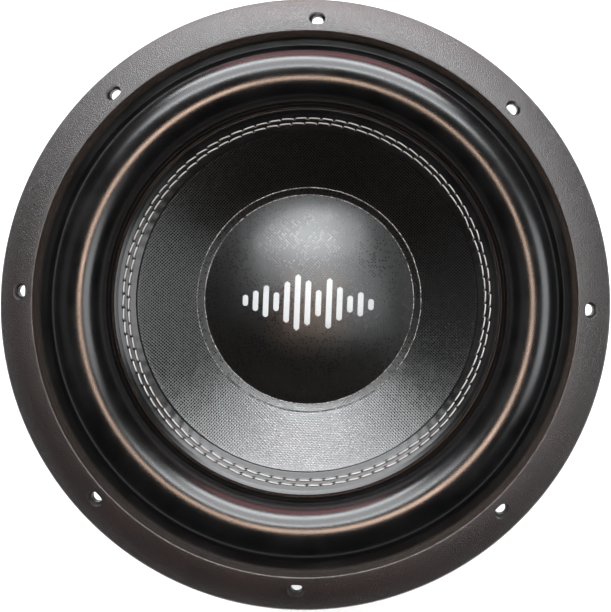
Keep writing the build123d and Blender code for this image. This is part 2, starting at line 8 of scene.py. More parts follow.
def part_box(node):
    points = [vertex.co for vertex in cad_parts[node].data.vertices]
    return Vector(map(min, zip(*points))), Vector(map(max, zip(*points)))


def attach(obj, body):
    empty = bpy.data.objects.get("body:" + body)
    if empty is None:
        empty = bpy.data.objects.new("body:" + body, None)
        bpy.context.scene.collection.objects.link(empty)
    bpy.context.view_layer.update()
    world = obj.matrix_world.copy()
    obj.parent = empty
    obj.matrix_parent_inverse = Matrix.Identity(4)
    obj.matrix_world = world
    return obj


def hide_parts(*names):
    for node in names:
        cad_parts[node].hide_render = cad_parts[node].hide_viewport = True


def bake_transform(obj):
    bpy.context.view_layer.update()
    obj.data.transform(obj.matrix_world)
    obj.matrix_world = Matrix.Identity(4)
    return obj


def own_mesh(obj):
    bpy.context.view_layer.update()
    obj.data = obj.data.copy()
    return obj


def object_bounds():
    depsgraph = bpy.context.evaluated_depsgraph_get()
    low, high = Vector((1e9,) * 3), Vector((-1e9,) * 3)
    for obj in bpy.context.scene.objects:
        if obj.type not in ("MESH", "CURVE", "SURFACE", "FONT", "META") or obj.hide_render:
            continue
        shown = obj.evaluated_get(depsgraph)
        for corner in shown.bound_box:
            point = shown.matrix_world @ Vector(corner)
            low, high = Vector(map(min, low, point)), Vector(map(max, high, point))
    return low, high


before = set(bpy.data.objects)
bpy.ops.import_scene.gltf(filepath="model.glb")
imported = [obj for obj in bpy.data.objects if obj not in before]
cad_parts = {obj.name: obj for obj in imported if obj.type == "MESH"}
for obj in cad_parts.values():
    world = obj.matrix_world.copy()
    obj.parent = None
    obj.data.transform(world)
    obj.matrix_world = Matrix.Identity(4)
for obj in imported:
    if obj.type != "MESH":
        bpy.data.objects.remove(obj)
cad_box = [list(corner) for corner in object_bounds()]

# Every size below is in millimetres unless its name says otherwise; MM turns it into metres.
MM = 0.001
FULL_TURN = 2 * math.pi
FLOOR_Z = cad_box[0][2]
rng = np.random.default_rng(12)


# ---- camera: high above the driver; the picture is cut from a wider one, so the lens is shifted ----

CAMERA_PLACE = (24.5, 17.7, 600.0)
CAMERA_LEAN_DEG = (2.85, -1.06)
CAMERA_TURN_DEG = 1.96
CAMERA_LENS = 66.75
CAMERA_SHIFT = (-0.1188, -0.1529)


def aimed_matrix(place, target):
    """The placement of something at a point that faces a target along its own -Z."""
    back = (Vector(place) - Vector(target)).normalized()
    right = Vector((0, 1, 0)).cross(back).normalized()
    turn = Matrix((right, back.cross(right), back)).transposed()
    return Matrix.Translation(Vector(place) * MM) @ turn.to_4x4()


camera = bpy.data.objects.new("camera", bpy.data.cameras.new("camera"))
camera.data.lens = CAMERA_LENS
camera.data.shift_x, camera.data.shift_y = CAMERA_SHIFT
camera.matrix_world = (
    Matrix.Translation(Vector(CAMERA_PLACE) * MM)
    @ Matrix.Rotation(math.radians(CAMERA_LEAN_DEG[1]), 4, "Y")
    @ Matrix.Rotation(math.radians(CAMERA_LEAN_DEG[0]), 4, "X")
    @ Matrix.Rotation(math.radians(CAMERA_TURN_DEG), 4, "Z")
)
bpy.context.scene.collection.objects.link(camera)
bpy.context.scene.camera = camera


# ---- mesh helpers ----

CREASE_DEG = 32.0


def new_piece(name, vertices, faces, crease_deg=CREASE_DEG):
    """A smooth-shaded mesh object from points in millimetres, with creases where faces meet sharply."""
    mesh = bpy.data.meshes.new(name)
    mesh.from_pydata((np.asarray(vertices) * MM).tolist(), [], faces)
    mesh.validate()
    mesh.shade_smooth()
    mesh.set_sharp_from_angle(angle=math.radians(crease_deg))
    piece = bpy.data.objects.new(name, mesh)
    bpy.context.scene.collection.objects.link(piece)
    return piece


def ring_faces(rows, columns, first=0, close_rows=True):
    """Quads of a grid whose columns close on themselves, and whose rows do too unless told not to."""
    row = np.arange(rows if close_rows else rows - 1)[:, None]
    column = np.arange(columns)[None, :]
    next_row = (row + 1) % rows
    next_column = (column + 1) % columns
    corners = (
        row * columns + column,
        row * columns + next_column,
        next_row * columns + next_column,
        next_row * columns + column,
    )
    quads = np.stack([np.broadcast_to(corner, (len(row), columns)) for corner in corners], -1)
    return (quads + first).reshape(-1, 4).tolist()


def revolved(name, outline, segments, crease_deg=CREASE_DEG):
    """A closed (radius, height) outline turned about the Z axis; points on the axis are joined."""
    outline = np.asarray(outline, float)
    angle = np.arange(segments) * FULL_TURN / segments
    radius, height = outline[:, :1], outline[:, 1:]
    heights = np.broadcast_to(height, (len(outline), segments))
    points = np.stack([radius * np.cos(angle), radius * np.sin(angle), heights], -1).reshape(-1, 3)
    piece = new_piece(name, points, ring_faces(len(outline), segments), crease_deg)
    if radius.min() < 1e-6:
        edit = bmesh.new()
        edit.from_mesh(piece.data)
        bmesh.ops.remove_doubles(edit, verts=edit.verts, dist=1e-7)
        edit.to_mesh(piece.data)
        edit.free()
    return piece


def face_outwards(piece):
    """Turns every face of a closed mesh the right way out."""
    edit = bmesh.new()
    edit.from_mesh(piece.data)
    bmesh.ops.recalc_face_normals(edit, faces=edit.faces)
    edit.to_mesh(piece.data)
    edit.free()
    return piece


def rounded_outline(corners, steps=5):
    """A closed outline of (radius, height, rounding) corners, each with its arc."""
    points = []
    count = len(corners)
    for index, (r, z, rounding) in enumerate(corners):
        here = np.array([r, z])
        if rounding <= 0:
            points.append(here)
            continue
        before = np.array(corners[index - 1][:2]) - here
        after = np.array(corners[(index + 1) % count][:2]) - here
        before_length, after_length = np.linalg.norm(before), np.linalg.norm(after)
        before, after = before / before_length, after / after_length
        half = math.acos(np.clip(before @ after, -1, 1)) / 2
        reach = min(rounding / math.tan(half), 0.49 * before_length, 0.49 * after_length)
        start, end = here + before * reach, here + after * reach
        for step in range(steps + 1):
            share = step / steps
            points.append((1 - share) ** 2 * start + 2 * share * (1 - share) * here + share**2 * end)
    return np.array(points)


def arc_through(first, between, last, steps):
    """Points from the first to the last of three points, on the circle through them."""
    first, between, last = (complex(*point) for point in (first, between, last))
    ratio = (last - first) / (between - first)
    centre = (between - first) * (ratio - abs(ratio) ** 2) / (2j * ratio.imag) + first
    radius = abs(first - centre)
    start, middle, end = (np.angle(point - centre) for point in (first, between, last))
    sweep = (end - start) % FULL_TURN
    if (middle - start) % FULL_TURN > sweep:
        sweep -= FULL_TURN
    turn = start + sweep * np.arange(steps + 1) / steps
    return np.stack([centre.real + radius * np.cos(turn), centre.imag + radius * np.sin(turn)], -1)


def smooth_noise(count, waves, seed):
    """A closed loop of values from 0 to 1 that vary smoothly, with about that many swings."""
    source = np.random.default_rng(seed).random(waves)
    place = np.arange(count) * waves / count
    low = place.astype(int)
    share = place - low
    share = share * share * (3 - 2 * share)
    return source[low % waves] * (1 - share) + source[(low + 1) % waves] * share


def wobbly_ring(name, radius, height, thickness, segments, waves, seed, sides=6):
    """A thin bead round the Z axis whose thickness and line wander."""
    angle = np.arange(segments) * FULL_TURN / segments
    size = thickness * (0.35 + 0.65 * smooth_noise(segments, waves, seed)) * (
        0.5 + 0.5 * smooth_noise(segments, waves // 9, seed + 1)
    )
    drift = thickness * 0.8 * (smooth_noise(segments, waves // 2, seed + 2) - 0.5)
    rows = []
    for side in range(sides):
        around = side * FULL_TURN / sides
        ring_radius = radius + drift + size * math.cos(around)
        ring_height = height + 0.7 * size * math.sin(around)
        rows.append(np.stack([ring_radius * np.cos(angle), ring_radius * np.sin(angle), ring_height], -1))
    return face_outwards(new_piece(name, np.concatenate(rows), ring_faces(sides, segments), 80.0))


def joined(name, pieces):
    """Several meshes as one object with one name."""
    edit = bmesh.new()
    for piece in pieces:
        edit.from_mesh(piece.data)
        bpy.data.objects.remove(piece)
    mesh = bpy.data.meshes.new(name)
    edit.to_mesh(mesh)
    edit.free()
    whole = bpy.data.objects.new(name, mesh)
    bpy.context.scene.collection.objects.link(whole)
    return whole


def set_material(piece, material):
    """Gives a piece one material."""
    piece.data.materials.clear()
    piece.data.materials.append(material)
    return piece


def flexing(piece, moving_radius, still_radius):
    """Bakes the piece's placement into its mesh and works out how far each point lies from the cone's radius
    to the basket's; that share is not used, so nothing bends.
    """
    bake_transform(piece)
    points = np.zeros(len(piece.data.vertices) * 3, np.float32)
    piece.data.vertices.foreach_get("co", points)
    points = points.reshape(-1, 3) / MM
    share = np.clip(
        (still_radius - np.hypot(points[:, 0], points[:, 1])) / (still_radius - moving_radius), 0, 1
    )
    share = share * share * (3 - 2 * share)
    return piece


# ---- materials ----


class Shader:
    """A material with short ways to add nodes and to set its shader's sockets."""

    def __init__(self, name, color, roughness, metallic=0.0, **sockets):
        self.material = bpy.data.materials.new(name)
        self.material.use_nodes = True
        self.tree = self.material.node_tree
        self.principled = self.tree.nodes["Principled BSDF"]
        self.set("Base Color", (*color, 1.0))
        self.set("Roughness", roughness)
        self.set("Metallic", metallic)
        for socket, value in sockets.items():
            self.set(socket.replace("_", " ").title().replace("Ior", "IOR"), value)

    def set(self, socket, value):
        """Links an output to one of the shader's sockets, or sets its value."""
        if isinstance(value, bpy.types.NodeSocket):
            self.tree.links.new(value, self.principled.inputs[socket])
        else:
            self.principled.inputs[socket].default_value = value

    def node(self, kind, inputs=(), output=0, **settings):
        """Adds a node, sets it up, fills its inputs in by name or number, and returns one output."""
        made = self.tree.nodes.new("ShaderNode" + kind)
        for setting, value in settings.items():
            setattr(made, setting, value)
        for socket, value in dict(inputs).items():
            if isinstance(value, bpy.types.NodeSocket):
                self.tree.links.new(value, made.inputs[socket])
            else:
                made.inputs[socket].default_value = value
        return made.outputs[output]

    def math(self, operation, *values):
        return self.node("Math", enumerate(values), operation=operation)

    def place(self):
        """The point on the surface, in metres, fixed to the piece."""
        return self.node("TexCoord", output="Object")

    def noise(self, size_mm, detail=3.0):
        inputs = {"Scale": 1 / (size_mm * MM), "Detail": detail, "Vector": self.place()}
        return self.node("TexNoise", inputs, "Fac")

    def cells(self, size_mm, feature="F1"):
        inputs = {"Scale": 1 / (size_mm * MM), "Vector": self.place()}
        return self.node("TexVoronoi", inputs, "Distance", feature=feature)

    def spread(self, value, low, high, from_low=0.0, from_high=1.0):
        """Maps a value from one range to another, without leaving it."""
        inputs = {"Value": value, "From Min": from_low, "From Max": from_high, "To Min": low, "To Max": high}
        return self.node("MapRange", inputs)

    def mix(self, share, first, second):
        """A colour between two colours."""
        inputs = {0: share, 6: (*first, 1.0), 7: (*second, 1.0)}
        return self.node("Mix", inputs, 2, data_type="RGBA")

    def tint(self, share, first, second):
        """Sets the base colour between two colours."""
        self.set("Base Color", self.mix(share, first, second))

    def bump(self, height, depth_mm, *also):
        """Raises the surface by a height times the depth, and its coat too if that socket is named."""
        normal = self.node("Bump", {"Height": height, "Distance": depth_mm * MM})
        for socket in ("Normal", *also):
            self.set(socket, normal)

    def axes(self, vector):
        """The X, Y and Z of a vector."""
        split = self.tree.nodes.new("ShaderNodeSeparateXYZ")
        self.tree.links.new(vector, split.inputs[0])
        return split.outputs

    def polar(self):
        """Radius, turn and height of the point about the Z axis, radius and height in metres."""
        x, y, z = self.axes(self.place())
        radius = self.math("SQRT", self.math("ADD", self.math("MULTIPLY", x, x), self.math("MULTIPLY", y, y)))
        return radius, self.math("ARCTAN2", y, x), z


WEAVE_BIAS_DEG = 41.0
WIRE_PITCH = 0.5


def plain_weave(shader, pitch_mm):
    """The height from 0 to 1 of a plain weave laid on the bias, and a random value for each crossing."""
    bias = {"Vector": shader.place(), "Angle": math.radians(WEAVE_BIAS_DEG)}
    along_warp, along_weft, _ = shader.axes(shader.node("VectorRotate", bias, rotation_type="Z_AXIS"))
    x = shader.math("DIVIDE", along_warp, pitch_mm * MM)
    y = shader.math("DIVIDE", along_weft, pitch_mm * MM)
    across_x = shader.math("ABSOLUTE", shader.math("SINE", shader.math("MULTIPLY", x, math.pi)))
    across_y = shader.math("ABSOLUTE", shader.math("SINE", shader.math("MULTIPLY", y, math.pi)))
    column, row = shader.math("FLOOR", x), shader.math("FLOOR", y)
    crossing = shader.node("CombineXYZ", {0: column, 1: row})
    chance = shader.node("TexWhiteNoise", {"Vector": crossing}, "Value")
    over = shader.math("PINGPONG", shader.math("ADD", column, row), 1.0)
    under = shader.math("SUBTRACT", 1.0, over)
    warp = shader.math("MULTIPLY", shader.math("MULTIPLY", across_x, shader.math("SQRT", across_y)), over)
    weft = shader.math("MULTIPLY", shader.math("MULTIPLY", across_y, shader.math("SQRT", across_x)), under)
    return shader.math("ADD", warp, weft), chance


def woven_material(name, pitch_mm, depth_mm, painted_pit_shade, light, roughness, coat, gloss):
    """Black glass cloth soaked in resin: glossy yarns, dull pits with painted shade, and a skin that is not
    quite even.
    """
    shader = Shader(name, painted_pit_shade, roughness, coat_weight=coat, coat_roughness=0.2, specular_ior_level=gloss)
    height, chance = plain_weave(shader, pitch_mm)
    waves = shader.noise(11.0, 5.0)
    # Base colour darker in the weave's pits and lighter on the raised yarns, with a random tone per crossing:
    # painted shade in the pits.
    shader.tint(shader.math("MULTIPLY", height, chance), painted_pit_shade, light)
    yarn = shader.spread(height, 0.36, roughness, 0.2, 0.6)
    shader.set("Roughness", shader.math("MULTIPLY_ADD", chance, 0.05, yarn))
    uneven = shader.math("MULTIPLY", height, shader.math("MULTIPLY_ADD", chance, 0.6, 0.8))
    lumps = shader.math("MULTIPLY_ADD", shader.noise(1.9), 0.7, shader.math("MULTIPLY", waves, 3.0))
    shader.bump(shader.math("ADD", lumps, uneven), depth_mm, "Coat Normal")
    return shader.material


def surround_rubber():
    """Moulded rubber with a soft gloss and a faint bloom."""
    shader = Shader("surround_rubber", (0.005, 0.005, 0.0055), 0.2, specular_ior_level=0.55)
    bloom = shader.noise(18.0, 5.0)
    fine = shader.noise(0.45, 4.0)
    shader.tint(shader.spread(bloom, 0.0, 1.0, 0.35, 0.7), (0.0013, 0.0013, 0.0014), (0.0034, 0.0034, 0.0037))
    mottle = shader.math("MULTIPLY_ADD", fine, 0.3, bloom)
    shader.set("Roughness", shader.spread(mottle, 0.19, 0.25, 0.4, 0.85))
    shader.bump(fine, 0.02)
    return shader.material


def gasket_rubber():
    """Matte rubber with a fine leather grain."""
    shader = Shader("gasket_rubber", (0.008, 0.0077, 0.0074), 0.5, specular_ior_level=1.0)
    pores = shader.cells(0.95, "DISTANCE_TO_EDGE")
    grain = shader.spread(pores, 0.0, 1.0, 0.0, 0.28)
    fine = shader.noise(0.4, 4.0)
    cloud = shader.noise(26.0, 4.0)
    shader.tint(shader.spread(cloud, 0.0, 1.0, 0.35, 0.68), (0.005, 0.0026, 0.0024), (0.0085, 0.0042, 0.004))
    shader.set("Roughness", shader.spread(grain, 0.43, 0.35))
    shader.bump(shader.math("ADD", grain, shader.math("MULTIPLY", fine, 0.5)), 0.09)
    return shader.material


def thread_material():
    """Twisted off-white polyester."""
    shader = Shader("stitch_thread", (0.28, 0.265, 0.255), 0.6, sheen_weight=0.15)
    fuzz = shader.noise(0.25, 4.0)
    grime = shader.noise(9.0, 4.0)
    shader.tint(shader.spread(grime, 0.0, 1.0, 0.35, 0.75), (0.3, 0.29, 0.285), (0.22, 0.205, 0.2))
    shader.bump(fuzz, 0.06)
    return shader.material


def powder_coat(name, color, roughness=0.42):
    """Baked powder paint with its orange peel."""
    shader = Shader(name, color, roughness)
    peel = shader.noise(1.1, 2.0)
    wear = shader.noise(30.0, 6.0)
    lighter = tuple(channel * 1.6 + 0.004 for channel in color)
    shader.tint(shader.spread(wear, 0.0, 1.0, 0.45, 0.75), color, lighter)
    shader.set("Roughness", shader.spread(wear, roughness - 0.06, roughness + 0.1, 0.3, 0.7))
    shader.bump(peel, 0.09)
    return shader.material


def turned_metal(name, color, roughness, groove_mm, metallic=1.0):
    """Metal with the fine rings that a lathe tool leaves."""
    shader = Shader(name, color, roughness, metallic)
    radius, _, _ = shader.polar()
    rings = shader.math("SINE", shader.math("MULTIPLY", radius, FULL_TURN / (groove_mm * MM)))
    smudge = shader.noise(20.0, 5.0)
    darker = tuple(channel * 0.7 for channel in color)
    shader.tint(shader.spread(smudge, 0.0, 1.0, 0.35, 0.75), color, darker)
    shader.set("Roughness", shader.spread(smudge, roughness - 0.07, roughness + 0.12, 0.3, 0.7))
    shader.bump(shader.math("MULTIPLY_ADD", rings, 0.5, shader.noise(0.5)), 0.03)
    return shader.material


def grained_plastic(name, color, roughness, grain_mm=0.35, depth_mm=0.05, **sockets):
    """Moulded plastic with a spark-eroded grain and a little dust."""
    shader = Shader(name, color, roughness, **sockets)
    grain = shader.noise(grain_mm, 3.0)
    dust = shader.noise(7.0, 6.0)
    paler = tuple(channel * 1.3 + 0.01 for channel in color)
    shader.tint(shader.spread(dust, 0.0, 1.0, 0.5, 0.8), color, paler)
    shader.set("Roughness", shader.spread(grain, roughness - 0.05, roughness + 0.08, 0.3, 0.7))
    shader.bump(grain, depth_mm)
    return shader.material


def spider_cloth():
    """Resin-dipped cotton cloth in a plain weave, with painted shade in the pits of the weave."""
    shader = Shader("spider_cloth", (0.55, 0.36, 0.12), 0.62, sheen_weight=0.2)
    height, _ = plain_weave(shader, 1.25)
    resin = shader.noise(11.0, 5.0)
    gold = shader.mix(shader.spread(resin, 0.0, 1.0, 0.3, 0.72), (0.62, 0.43, 0.17), (0.42, 0.24, 0.07))
    # The weave's pits are mixed towards dark brown: painted shade in the pits, over the resin's random gold
    # tone.
    gold_with_painted_shade = shader.node("Mix", {0: height, 6: (0.16, 0.08, 0.02, 1.0), 7: gold}, 2, data_type="RGBA")
    shader.set("Base Color", gold_with_painted_shade)
    shader.set("Roughness", shader.math("MULTIPLY_ADD", height, 0.1, 0.5))
    shader.bump(height, 0.25)
    return shader.material


def coil_material():
    """Enamelled copper wire wound in tight turns, with painted shade between the turns."""
    shader = Shader("coil_wire", (0.72, 0.27, 0.09), 0.25, 1.0, coat_weight=0.7)
    _, _, height = shader.polar()
    swing = shader.math("SINE", shader.math("MULTIPLY", height, math.pi / (WIRE_PITCH * MM)))
    turns = shader.math("ABSOLUTE", swing)
    tint = shader.noise(8.0)
    # Base colour darker where the turns meet and lighter on their crowns, scaled by a random tone: painted
    # shade between the turns.
    shader.tint(shader.math("MULTIPLY", turns, tint), (0.28, 0.07, 0.02), (0.86, 0.38, 0.15))
    shader.bump(turns, 0.15)
    return shader.material


def film_material():
    """Amber polyimide film."""
    shader = Shader("former_film", (0.56, 0.27, 0.04), 0.28, coat_weight=0.6)
    streaks = shader.noise(6.0, 5.0)
    shader.tint(shader.spread(streaks, 0.0, 1.0, 0.3, 0.75), (0.62, 0.31, 0.05), (0.38, 0.16, 0.02))
    shader.bump(streaks, 0.02)
    return shader.material


def paper_material():
    """Kraft paper wound round the former."""
    shader = Shader("kraft_paper", (0.52, 0.36, 0.2), 0.8)
    fibres = shader.noise(0.9, 8.0)
    shader.tint(shader.spread(fibres, 0.0, 1.0, 0.3, 0.7), (0.42, 0.28, 0.15), (0.62, 0.46, 0.28))
    shader.bump(fibres, 0.06)
    return shader.material


def braid_material():
    """Tinned copper tinsel."""
    shader = Shader("tinsel_braid", (0.78, 0.58, 0.38), 0.34, 1.0)
    strands = shader.noise(0.4, 3.0)
    shader.tint(strands, (0.55, 0.36, 0.2), (0.92, 0.74, 0.55))
    shader.bump(strands, 0.05)
    return shader.material


def glue_material():
    """Clear adhesive that has caught fibres and dust."""
    shader = Shader("adhesive_line", (0.55, 0.54, 0.52), 0.3, coat_weight=0.5)
    specks = shader.noise(1.1, 6.0)
    shader.tint(shader.spread(specks, 0.0, 1.0, 0.42, 0.62), (0.03, 0.03, 0.03), (0.42, 0.41, 0.4))
    shader.bump(specks, 0.1)
    return shader.material


def print_material():
    """Screen-printed white ink, a little worn."""
    shader = Shader("white_ink", (0.3, 0.31, 0.315), 0.45)
    wear = shader.noise(0.8, 6.0)
    shader.tint(shader.spread(wear, 0.0, 1.0, 0.6, 0.75), (0.3, 0.31, 0.315), (0.22, 0.22, 0.22))
    shader.bump(wear, 0.02)
    return shader.material


def floor_material():
    """Pale matte studio paper."""
    shader = Shader("studio_floor", (0.93, 0.93, 0.93), 0.8)
    shader.bump(shader.noise(2.0), 0.02)
    return shader.material


# ---- surround: stitched lip, shoulder, grooves, half roll and outer lip ----

STITCHES_PER_ROW = 86
SEGMENTS_PER_STITCH = 20
LIP_INNER, LIP_OUTER, RIM_OUTER, LIP_OUTER_BOTTOM, LIP_THICKNESS = 89.7, 98.6, 100.4, 2.5, 2.0
LIP_SLOPE = math.tan(math.radians(25.0))
INNER_ROW, OUTER_ROW = 93.65, 96.1
INNER_SHIFT, OUTER_SHIFT = -0.26, 0.48
STITCH_LENGTH, THREAD_RADIUS, STITCH_SLANT = 6.15, 0.32, 0.04
LENGTH_SCATTER, OFFSET_SCATTER, SLANT_SCATTER, LIFT_SCATTER = 0.13, 0.06, 0.025, 0.05
THREAD_LIFT, THREAD_DIVE = 0.34, 1.15
HOLE_RADIUS, HOLE_DEPTH = 0.45, 0.6
PUCKER_RADIUS, PUCKER_DEPTH = 1.1, 0.05
THREAD_DENT_DEPTH, THREAD_DENT_REACH_ACROSS, THREAD_DENT_REACH_ALONG = 0.07, 0.6, 3.0
RIPPLE_DEPTH, RIPPLE_RADIUS, RIPPLE_REACH = 0.035, 91.2, 1.5
LIP_RING_GAP = 0.21
GROOVE_RADIUS, GROOVE_Z = 103.6, 0.9
CREST_RADIUS, CREST_Z = 119.4, 19.6
FOOT_RADIUS, LANDING_Z = 134.6, 6.5
LANDING_OUTER, RUBBER, FLANGE_TOP, SHOULDER_Z = 143.8, 1.8, 5.0, 4.8
BEND_START = 101.3
RING_SEGMENTS, BODY_SEGMENTS = 720, 360

stitch_angle = FULL_TURN / STITCHES_PER_ROW
stitch_rows = []
for row_radius, shift in ((INNER_ROW, INNER_SHIFT), (OUTER_ROW, OUTER_SHIFT)):
    stitch_rows.append(
        {
            "radius": row_radius,
            "middle": (np.arange(STITCHES_PER_ROW) + shift) * stitch_angle,
            "length": STITCH_LENGTH + rng.normal(0, LENGTH_SCATTER, STITCHES_PER_ROW),
            "offset": rng.normal(0, OFFSET_SCATTER, STITCHES_PER_ROW),
            "slant": STITCH_SLANT + rng.normal(0, SLANT_SCATTER, STITCHES_PER_ROW),
            "lift": rng.normal(0, LIFT_SCATTER, STITCHES_PER_ROW),
        }
    )


def needle_dents(radius, angle):
    """How far the rubber is drawn down at a point, by the needle holes and the tight thread."""
    depth = np.zeros(np.broadcast(radius, angle).shape)
    for row in stitch_rows:
        for side in (-1, 1):
            hole_angle = row["middle"] + side * row["length"] / 2 / row["radius"]
            hole_radius = row["radius"] + row["offset"] + side * row["slant"] * row["length"] / 2
            nearest = np.round((angle - row["middle"][0]) / stitch_angle).astype(int) % STITCHES_PER_ROW
            gap = (angle - hole_angle[nearest] + math.pi) % FULL_TURN - math.pi
            along = gap * row["radius"]
            across = radius - hole_radius[nearest]
            distance = np.hypot(along, across)
            depth += HOLE_DEPTH * np.exp(-((distance / HOLE_RADIUS) ** 4))
            depth += PUCKER_DEPTH * np.exp(-((distance / PUCKER_RADIUS) ** 2))
        gap = (angle - row["middle"][nearest] + math.pi) % FULL_TURN - math.pi
        along = gap * row["radius"]
        across = radius - row["radius"] - row["offset"][nearest]
        near_across = np.exp(-((across / THREAD_DENT_REACH_ACROSS) ** 2))
        near_along = np.exp(-((along / THREAD_DENT_REACH_ALONG) ** 4))
        depth += THREAD_DENT_DEPTH * near_across * near_along
    return depth


def lip_bottom_z(radius):
    """The height of the face that is glued to the cone's rim."""
    return LIP_OUTER_BOTTOM - LIP_SLOPE * (RIM_OUTER - radius)


def lip_face_z(radius):
    """The height of the stitched face."""
    return lip_bottom_z(radius) + LIP_THICKNESS


def stitched_lip():
    """The sloping lip, fine enough to hold every needle hole."""
    top_radii = np.arange(LIP_INNER + 0.5, LIP_OUTER, LIP_RING_GAP)
    rounding_radii = LIP_INNER + np.array([0.0, 0.05, 0.2])
    outline = np.concatenate(
        [
            [(LIP_INNER, lip_bottom_z(LIP_INNER))],
            np.stack([rounding_radii, lip_face_z(rounding_radii) - (0.4, 0.2, 0.05)], -1),
            np.stack([top_radii, lip_face_z(top_radii)], -1),
            [(LIP_OUTER, lip_face_z(LIP_OUTER)), (LIP_OUTER, lip_bottom_z(LIP_OUTER))],
        ]
    )
    lip = revolved("lip", outline, STITCHES_PER_ROW * SEGMENTS_PER_STITCH, 50.0)
    points = np.array([v.co for v in lip.data.vertices]) / MM
    radius = np.hypot(points[:, 0], points[:, 1])
    on_top = points[:, 2] > lip_face_z(radius) - 0.2
    angle = np.arctan2(points[:, 1], points[:, 0])
    near_ripple = np.exp(-(((radius - RIPPLE_RADIUS) / RIPPLE_REACH) ** 2))
    ripple = RIPPLE_DEPTH * np.sin(angle * STITCHES_PER_ROW) * near_ripple
    points[:, 2] -= np.where(on_top, needle_dents(radius, angle) + ripple, 0.0)
    lip.data.vertices.foreach_set("co", (points * MM).ravel())
    return lip


def surround_roll():
    """The shoulder, the grooves, the half roll and the lip under the gasket."""
    shoulder = rounded_outline(
        [
            (LIP_OUTER, lip_bottom_z(LIP_OUTER), 0),
            (LIP_OUTER, lip_face_z(LIP_OUTER), 0),
            (RIM_OUTER, SHOULDER_Z, 0.1),
            (RIM_OUTER + 0.5, SHOULDER_Z, 0.15),
            (RIM_OUTER + 1.0, 1.5, 0.3),
            (101.9, 1.3, 0.12),
            (102.05, 1.7, 0.1),
            (102.45, 1.7, 0.1),
            (102.6, 1.1, 0.12),
            (GROOVE_RADIUS - 0.15, 0.95, 0.2),
            (GROOVE_RADIUS, GROOVE_Z, 0),
        ],
        4,
    )
    over = arc_through((GROOVE_RADIUS, GROOVE_Z), (CREST_RADIUS, CREST_Z), (FOOT_RADIUS, LANDING_Z), 72)
    landing = [
        (FOOT_RADIUS + 0.3, LANDING_Z),
        (LANDING_OUTER - 0.3, LANDING_Z),
        (LANDING_OUTER, LANDING_Z),
        (LANDING_OUTER, FLANGE_TOP),
        (FOOT_RADIUS - RUBBER, FLANGE_TOP),
    ]
    under = arc_through(
        (FOOT_RADIUS - RUBBER, FLANGE_TOP),
        (CREST_RADIUS, CREST_Z - RUBBER),
        (GROOVE_RADIUS + RUBBER, GROOVE_Z - RUBBER),
        40,
    )
    web_radius = RIM_OUTER + 0.3
    end = [(web_radius, GROOVE_Z - RUBBER), (web_radius, lip_bottom_z(web_radius))]
    outline = np.concatenate([shoulder, over[1:], landing, under[1:], end])
    return revolved("roll", outline, RING_SEGMENTS, 40.0)


surround = face_outwards(joined("surround_rubber", [stitched_lip(), surround_roll()]))
set_material(surround, surround_rubber())
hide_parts("surround")
flexing(surround, BEND_START, FOOT_RADIUS)

# ---- stitches: separate lengths of three-ply thread that dive into their needle holes ----


def stitch_row(name, row, node):
    """One row of stitches as one piece."""
    steps, sides, plies, twists = 18, 12, 3, 1.6
    arch, end_squeeze, ply_relief, flatness = 0.35, 0.28, 0.1, 0.85
    share = np.linspace(-1, 1, steps)
    around = np.arange(sides) * FULL_TURN / sides
    points, faces = [], []
    for index in range(STITCHES_PER_ROW):
        along = share * row["length"][index] / 2
        edge = np.abs(share)
        lift = (THREAD_LIFT + row["lift"][index]) * (1 - edge**2 * arch) - THREAD_DIVE * edge**9
        squeeze = 1 - end_squeeze * edge**6
        lobes = 1 + ply_relief * np.cos(plies * (around[None, :] - twists * math.pi * share[:, None]))
        side_reach = THREAD_RADIUS * squeeze[:, None] * lobes * np.cos(around)
        up_reach = THREAD_RADIUS * squeeze[:, None] * lobes * np.sin(around)
        radius = row["radius"] + row["offset"][index] + row["slant"][index] * along[:, None] + side_reach
        angle = row["middle"][index] + along[:, None] / row["radius"]
        height = lip_face_z(radius) + lift[:, None] + up_reach * flatness
        first = index * steps * sides
        points.append(np.stack([radius * np.cos(angle), radius * np.sin(angle), height], -1).reshape(-1, 3))
        faces += ring_faces(steps, sides, first, close_rows=False)
        last = first + (steps - 1) * sides
        faces += [tuple(range(first, first + sides)), tuple(range(last, last + sides))]
    piece = face_outwards(new_piece(name, np.concatenate(points), faces, 70.0))
    set_material(piece, THREAD)
    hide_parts(node)
    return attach(piece, "cone_assembly")


THREAD = thread_material()
stitch_row("stitches_inner", stitch_rows[0], "stitch_thread_inner")
stitch_row("stitches_outer", stitch_rows[1], "stitch_thread_outer")

# ---- cone and dust cap ----

NECK_RADIUS, NECK_Z, RIM_RADIUS, CONE_THICKNESS = 32.65, -40.6, 90.2, 1.2
CAP_RADIUS, CAP_LIP_RADIUS, CAP_LIP, CAP_HEIGHT, CAP_THICKNESS = 57.0, 60.9, 0.8, 20.0, 1.2
RIM_Z = lip_bottom_z(RIM_RADIUS)
cone_slope = (RIM_Z - NECK_Z) / (RIM_RADIUS - NECK_RADIUS)
cone_drop = CONE_THICKNESS * math.hypot(1, cone_slope)
rim_drop = CONE_THICKNESS * math.hypot(1, LIP_SLOPE)
rear_corner_radius = RIM_RADIUS + (cone_drop - rim_drop) / (cone_slope - LIP_SLOPE)


def cone_face_z(radius):
    """The height of the cone's front face."""
    return RIM_Z - cone_slope * (RIM_RADIUS - radius)


def straight(start, end, steps):
    """Evenly spaced points from the start up to, but not at, the end."""
    share = np.arange(steps)[:, None] / steps
    return np.array(start) * (1 - share) + np.array(end) * share


